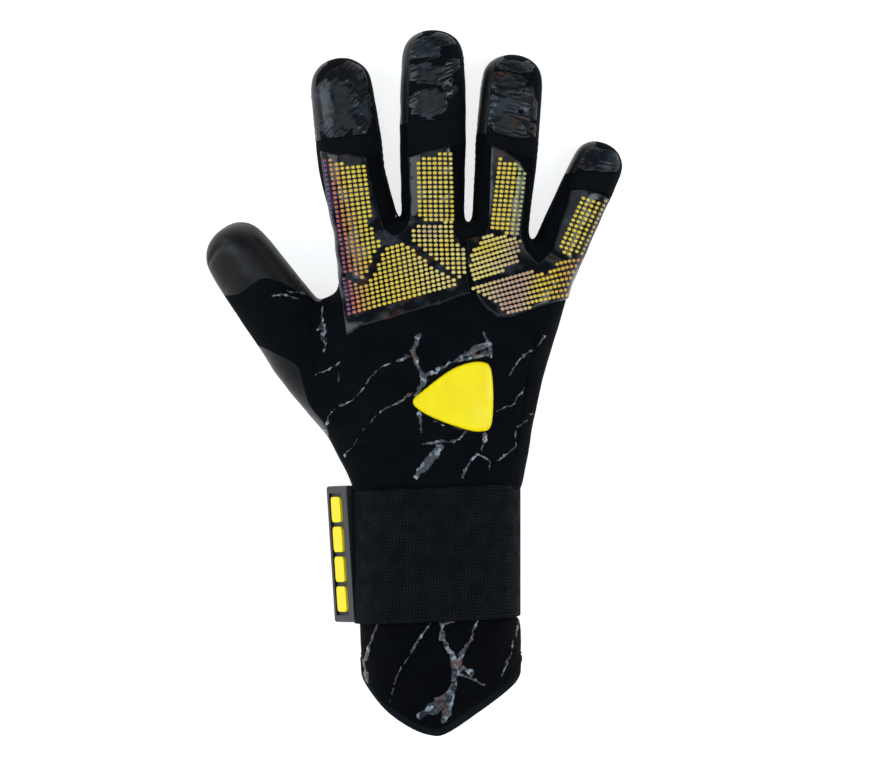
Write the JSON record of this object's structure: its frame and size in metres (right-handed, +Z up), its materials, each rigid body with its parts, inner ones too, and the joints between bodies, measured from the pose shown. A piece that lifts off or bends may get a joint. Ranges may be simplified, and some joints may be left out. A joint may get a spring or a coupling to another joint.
{
  "type": "goalkeeper glove",
  "caption": "Right-hand goalkeeping glove with latex palm, bending finger and thumb segments, silicone knuckle pads, sleeve cuff and elastic wrist strap with pull tab.",
  "frame": {"origin": "centre of the outline's box, on the plane that the palm rests on", "axes": "+Y along the middle finger away from the wrist, +X towards the little finger, +Z up out of the back of the hand"},
  "size_m": [0.1741, 0.296, 0.0458],
  "materials": {
    "knit": "fine matte knit",
    "latex": "satin closed foam",
    "backing": "matte foam-backed lining",
    "print": "gloss marbled print with fine ridges",
    "gusset": "matte stretch mesh",
    "flex": "satin stretch band",
    "silicone": "gloss clear silicone over black, with yellow raised dots",
    "badge": "gloss moulded rubber",
    "neoprene": "smooth black neoprene with gloss marbled print",
    "binding": "matte ribbed binding tape",
    "elastic": "diagonally ribbed elastic webbing",
    "loop": "loop pile",
    "hook": "fine hooks",
    "tab_rubber": "satin moulded rubber",
    "tab_yellow": "satin moulded rubber"
  },
  "bodies": {
    "hand": {"backhand_panel": "knit", "palm_latex": "latex", "palm_backing": "backing", "knuckle_pad_inner": "silicone", "knuckle_pad_outer": "silicone", "back_badge": "badge", "cuff_back": "neoprene", "cuff_palm": "neoprene", "hem_binding": "binding", "strap_anchor": "elastic", "loop_patch": "loop", "index_knuckle_flex": "flex", "middle_knuckle_flex": "flex", "ring_knuckle_flex": "flex", "little_knuckle_flex": "flex", "thumb_knuckle_flex": "flex"},
    "strap": {"strap_band": "elastic", "hook_patch": "hook"},
    "tab": {"pull_tab": "tab_rubber", "tab_blocks": "tab_yellow"},
    "index_lower": {"index_lower_back": "knit", "index_lower_palm": "latex", "index_lower_gussets": "gusset", "index_back_pad": "silicone", "index_flex_band": "flex"},
    "index_tip": {"index_tip_back": "print", "index_tip_palm": "latex", "index_tip_wrap": "gusset"},
    "middle_lower": {"middle_lower_back": "knit", "middle_lower_palm": "latex", "middle_lower_gussets": "gusset", "middle_back_pad": "silicone", "middle_flex_band": "flex"},
    "middle_tip": {"middle_tip_back": "print", "middle_tip_palm": "latex", "middle_tip_wrap": "gusset"},
    "ring_lower": {"ring_lower_back": "knit", "ring_lower_palm": "latex", "ring_lower_gussets": "gusset", "ring_back_pad": "silicone", "ring_flex_band": "flex"},
    "ring_tip": {"ring_tip_back": "print", "ring_tip_palm": "latex", "ring_tip_wrap": "gusset"},
    "little_lower": {"little_lower_back": "knit", "little_lower_palm": "latex", "little_lower_gussets": "gusset", "little_back_pad": "silicone", "little_flex_band": "flex"},
    "little_tip": {"little_tip_back": "print", "little_tip_palm": "latex", "little_tip_wrap": "gusset"},
    "thumb_lower": {"thumb_lower_back": "knit", "thumb_lower_palm": "latex", "thumb_lower_gussets": "gusset", "thumb_flex_band": "flex"},
    "thumb_tip": {"thumb_tip_back": "latex", "thumb_tip_palm": "latex", "thumb_tip_wrap": "latex"}
  },
  "joints": [
    {"name": "strap_lift", "type": "hinge", "parent": "hand", "child": "strap", "pos_m": [0.045, 0, 0.0203], "axis": [0, 1, 0], "range_deg": [0, 120]},
    {"name": "tab_lift", "type": "hinge", "parent": "strap", "child": "tab", "pos_m": [-0.02638, -0.07125, 0.03101], "axis": [-0.0384, 0.9993, 0], "range_deg": [0, 60]},
    {"name": "index_knuckle_bend", "type": "hinge", "parent": "hand", "child": "index_lower", "pos_m": [-0.02419, 0.0779, 0.01087], "axis": [-0.9912, -0.1323, 0], "range_deg": [0, 60], "stiffness_Nm_per_rad": 0.2, "deforming": ["index_knuckle_flex"]},
    {"name": "index_middle_bend", "type": "hinge", "parent": "index_lower", "child": "index_tip", "pos_m": [-0.02703, 0.09921, 0.01033], "axis": [-0.9912, -0.1323, 0], "range_deg": [0, 70], "stiffness_Nm_per_rad": 0.1, "deforming": ["index_flex_band"]},
    {"name": "middle_knuckle_bend", "type": "hinge", "parent": "hand", "child": "middle_lower", "pos_m": [0.0082, 0.0785, 0.01129], "axis": [-1, 0, 0], "range_deg": [0, 60], "stiffness_Nm_per_rad": 0.2, "deforming": ["middle_knuckle_flex"]},
    {"name": "middle_middle_bend", "type": "hinge", "parent": "middle_lower", "child": "middle_tip", "pos_m": [0.0082, 0.1005, 0.01075], "axis": [-1, 0, 0], "range_deg": [0, 70], "stiffness_Nm_per_rad": 0.1, "deforming": ["middle_flex_band"]},
    {"name": "ring_knuckle_bend", "type": "hinge", "parent": "hand", "child": "ring_lower", "pos_m": [0.03754, 0.07796, 0.01087], "axis": [-0.9969, 0.0785, 0], "range_deg": [0, 60], "stiffness_Nm_per_rad": 0.2, "deforming": ["ring_knuckle_flex"]},
    {"name": "ring_middle_bend", "type": "hinge", "parent": "ring_lower", "child": "ring_tip", "pos_m": [0.03923, 0.0994, 0.01033], "axis": [-0.9969, 0.0785, 0], "range_deg": [0, 70], "stiffness_Nm_per_rad": 0.1, "deforming": ["ring_flex_band"]},
    {"name": "little_knuckle_bend", "type": "hinge", "parent": "hand", "child": "little_lower", "pos_m": [0.06406, 0.06279, 0.00964], "axis": [-0.9092, 0.4163, 0], "range_deg": [0, 60], "stiffness_Nm_per_rad": 0.2, "deforming": ["little_knuckle_flex"]},
    {"name": "little_middle_bend", "type": "hinge", "parent": "little_lower", "child": "little_tip", "pos_m": [0.07301, 0.08234, 0.00907], "axis": [-0.9092, 0.4163, 0], "range_deg": [0, 70], "stiffness_Nm_per_rad": 0.1, "deforming": ["little_flex_band"]},
    {"name": "thumb_knuckle_bend", "type": "hinge", "parent": "hand", "child": "thumb_lower", "pos_m": [-0.05582, 0.03076, 0.01429], "axis": [-0.6499, -0.4987, -0.5736], "range_deg": [0, 40], "stiffness_Nm_per_rad": 0.2, "deforming": ["thumb_knuckle_flex"]},
    {"name": "thumb_middle_bend", "type": "hinge", "parent": "thumb_lower", "child": "thumb_tip", "pos_m": [-0.06803, 0.04723, 0.01381], "axis": [-0.6499, -0.4987, -0.5736], "range_deg": [0, 55], "stiffness_Nm_per_rad": 0.1, "deforming": ["thumb_flex_band"]}
  ]
}
